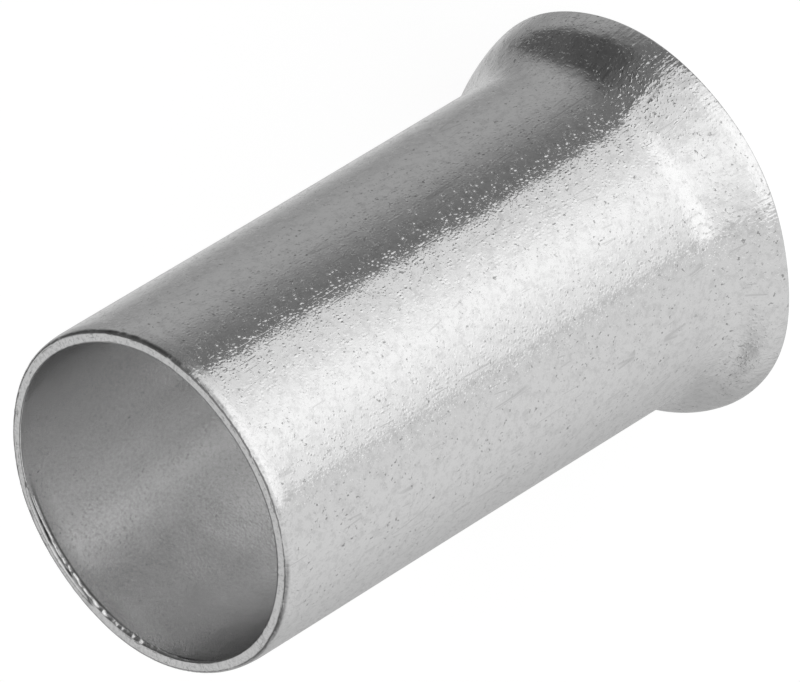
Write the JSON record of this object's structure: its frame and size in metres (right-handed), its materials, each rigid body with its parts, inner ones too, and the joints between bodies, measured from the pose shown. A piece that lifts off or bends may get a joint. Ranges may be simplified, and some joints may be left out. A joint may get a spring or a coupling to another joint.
{
  "type": "wire ferrule",
  "caption": "Bare tubular wire ferrule: thin straight barrel with a belled mouth at one end and a square cut at the other.",
  "frame": {"origin": "centre of the flared mouth's lip, on the surface that the ferrule stands on", "axes": "+Z along the barrel's axis, from the flared mouth towards the cut end"},
  "size_m": [0.0074, 0.0074, 0.012],
  "materials": {
    "tinned_copper": "tumbled tin plate over copper, satin with a fine orange peel"
  },
  "bodies": {
    "root": {"ferrule": "tinned_copper"}
  },
  "joints": []
}
